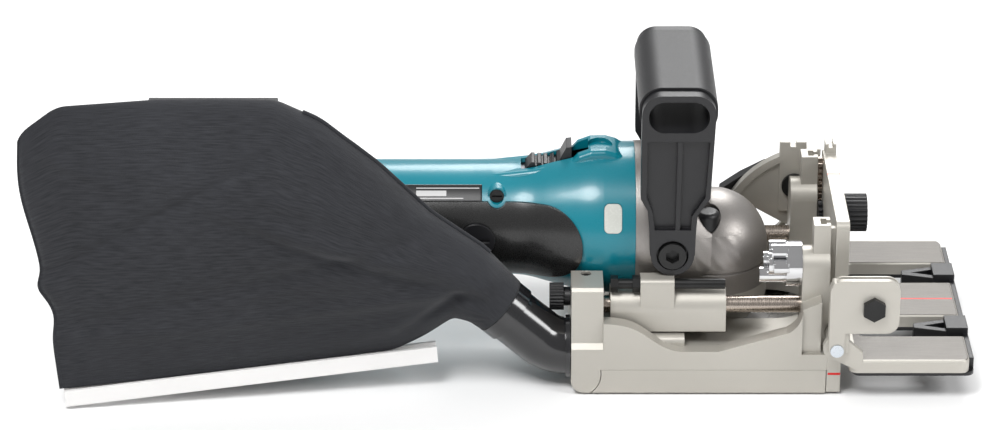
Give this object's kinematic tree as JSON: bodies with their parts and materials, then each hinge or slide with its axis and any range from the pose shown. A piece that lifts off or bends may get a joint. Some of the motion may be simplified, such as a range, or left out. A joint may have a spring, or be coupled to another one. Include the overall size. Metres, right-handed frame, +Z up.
{
  "type": "biscuit joiner",
  "caption": "Battery biscuit joiner: sliding motor unit on a cast base, bail handle, depth turret, height fence with folding angle guide, dust nozzle and cloth bag.",
  "frame": {"origin": "centre of the base's flat underside", "axes": "+X forward towards the work, +Y to the tool's left, +Z up"},
  "size_m": [0.4418, 0.1659, 0.1462],
  "materials": {
    "cast_silver": "fine silver paint on an aluminium casting",
    "guide_aluminium": "brushed and painted",
    "raw_casting": "bare die casting",
    "rod_steel": "ground",
    "bearing_steel": "ground",
    "blade_steel": "ground",
    "black_steel": "black oxide",
    "zinc_steel": "zinc plated",
    "chrome_steel": "polished",
    "bronze": "sintered bronze",
    "copper": "copper bars",
    "core_steel": "laminated steel",
    "magnet": "ferrite",
    "carbon": "carbon",
    "teal_plastic": "satin moulded",
    "black_plastic": "moulded",
    "gloss_black": "glossy moulded",
    "battery_plastic": "moulded",
    "black_rubber": "smooth rubber",
    "grip_rubber": "matt soft grip",
    "clear_plastic": "milky window",
    "white_plastic": "white extrusion",
    "bag_cloth": "woven charcoal cloth"
  },
  "bodies": {
    "base": {"base_casting": "cast_silver", "front_shoe": "cast_silver", "guide_rods": "rod_steel", "rod_set_screws": "black_steel", "shoe_screws": "black_steel", "turret_pin": "rod_steel", "height_rack": "rod_steel", "cover_hinge_pins": "rod_steel"},
    "cover": {"blade_cover": "cast_silver", "cover_screw": "black_steel"},
    "motor_unit": {"gear_housing": "raw_casting", "slide_carriage": "cast_silver", "sleeve_bushes": "bronze", "return_springs": "rod_steel", "front_bearing": "bearing_steel", "rear_bearing": "bearing_steel", "spindle_bearings": "bearing_steel", "motor_yoke": "core_steel", "motor_magnets": "magnet", "carbon_brushes": "carbon", "brush_caps": "black_plastic", "housing_right": "teal_plastic", "housing_left": "teal_plastic", "side_pads": "black_rubber", "status_windows": "clear_plastic", "housing_screws": "black_steel", "switch_unit": "black_plastic", "terminal_block": "black_plastic", "bail_handle": "black_plastic", "grip_sleeve": "grip_rubber", "handle_bolts": "black_steel"},
    "stop_screw": {"depth_stop_screw": "black_steel", "depth_lock_nut": "black_steel"},
    "armature": {"armature_shaft": "rod_steel", "armature_core": "core_steel", "commutator": "copper", "cooling_fan": "black_plastic", "drive_pinion": "bearing_steel"},
    "blade_spindle": {"spindle": "rod_steel", "blade_flanges": "rod_steel", "saw_blade": "blade_steel", "bevel_gear": "bearing_steel"},
    "shaft_lock": {"shaft_lock_button": "black_plastic"},
    "switch": {"slide_switch": "black_plastic"},
    "battery": {"battery_case": "battery_plastic"},
    "battery_release": {"battery_button": "black_plastic"},
    "turret": {"depth_turret": "chrome_steel"},
    "fence": {"fence_plate": "cast_silver", "angle_quadrant": "cast_silver", "lock_bolt": "black_steel"},
    "knob": {"height_knob": "black_plastic"},
    "lever": {"angle_lock_lever": "black_plastic"},
    "guide": {"angle_guide": "guide_aluminium", "guide_bolt": "black_steel", "pivot_pins": "zinc_steel"},
    "set_plate": {"set_plate": "black_plastic"},
    "nozzle": {"dust_nozzle": "gloss_black", "dust_bag": "bag_cloth"},
    "clip": {"bag_clip": "white_plastic"},
    "thumb_screw": {"nozzle_thumb_screw": "black_plastic"}
  },
  "joints": [
    {"name": "plunge", "type": "slide", "parent": "base", "child": "motor_unit", "axis": [1, 0, 0], "range_m": [0, 0.0285], "stiffness_N_per_m": 350, "springref_m": -0.05},
    {"name": "cover_hinge", "type": "hinge", "parent": "base", "child": "cover", "pos_m": [-0.0611, 0, 0.0095], "axis": [0, 1, 0], "range_deg": [0, 90]},
    {"name": "spindle_spin", "type": "hinge", "parent": "motor_unit", "child": "blade_spindle", "pos_m": [0.005, 0, 0.01], "axis": [0, 0, 1], "continuous": true},
    {"name": "armature_spin", "type": "hinge", "parent": "motor_unit", "child": "armature", "pos_m": [-0.08, 0, 0.0645], "axis": [1, 0, 0], "continuous": true},
    {"name": "shaft_lock_press", "type": "slide", "parent": "motor_unit", "child": "shaft_lock", "axis": [0, 0, -1], "range_m": [0, 0.003], "stiffness_N_per_m": 400, "springref_m": -0.002},
    {"name": "switch_slide", "type": "slide", "parent": "motor_unit", "child": "switch", "axis": [1, 0, 0], "range_m": [0, 0.006]},
    {"name": "stop_screw_adjust", "type": "slide", "parent": "motor_unit", "child": "stop_screw", "axis": [-1, 0, 0], "range_m": [0, 0.003]},
    {"name": "battery_slide", "type": "slide", "parent": "motor_unit", "child": "battery", "axis": [0, 0, 1], "range_m": [0, 0.06]},
    {"name": "battery_button_press", "type": "slide", "parent": "battery", "child": "battery_release", "axis": [1, 0, 0], "range_m": [0, 0.003], "stiffness_N_per_m": 400, "springref_m": -0.002},
    {"name": "turret_turn", "type": "hinge", "parent": "base", "child": "turret", "pos_m": [0.04, -0.039, 0.058], "axis": [1, 0, 0], "range_deg": [-300, 0]},
    {"name": "fence_height", "type": "slide", "parent": "base", "child": "fence", "axis": [0, 0, 1], "range_m": [0, 0.03]},
    {"name": "height_knob_turn", "type": "hinge", "parent": "fence", "child": "knob", "pos_m": [0.064, 0.0295, 0.053], "axis": [-1, 0, 0], "range_deg": [0, 345]},
    {"name": "lock_lever_turn", "type": "hinge", "parent": "fence", "child": "lever", "pos_m": [0.04795, 0.06, 0.05806], "axis": [0, 1, 0], "range_deg": [0, 45]},
    {"name": "guide_tilt", "type": "hinge", "parent": "fence", "child": "guide", "pos_m": [0.0605, 0, 0.027], "axis": [0, -1, 0], "range_deg": [0, 90]},
    {"name": "set_plate_slide", "type": "slide", "parent": "guide", "child": "set_plate", "axis": [1, 0, 0], "range_m": [0, 0.04]},
    {"name": "nozzle_swivel", "type": "hinge", "parent": "base", "child": "nozzle", "pos_m": [-0.066, -0.045, 0.0175], "axis": [1, 0, 0], "range_deg": [0, 45]},
    {"name": "clip_slide", "type": "slide", "parent": "nozzle", "child": "clip", "axis": [-0.9899, -0.1215, -0.0732], "range_m": [0, 0.06]},
    {"name": "thumb_screw_turn", "type": "hinge", "parent": "base", "child": "thumb_screw", "pos_m": [-0.068, -0.0315, 0.037], "axis": [1, 0, 0], "range_deg": [0, 360]}
  ],
  "couplings": [
    {"joint": "armature_spin", "follows": "spindle_spin", "ratio": -3},
    {"joint": "height_knob_turn", "follows": "fence_height", "rad_per_m": 200}
  ]
}
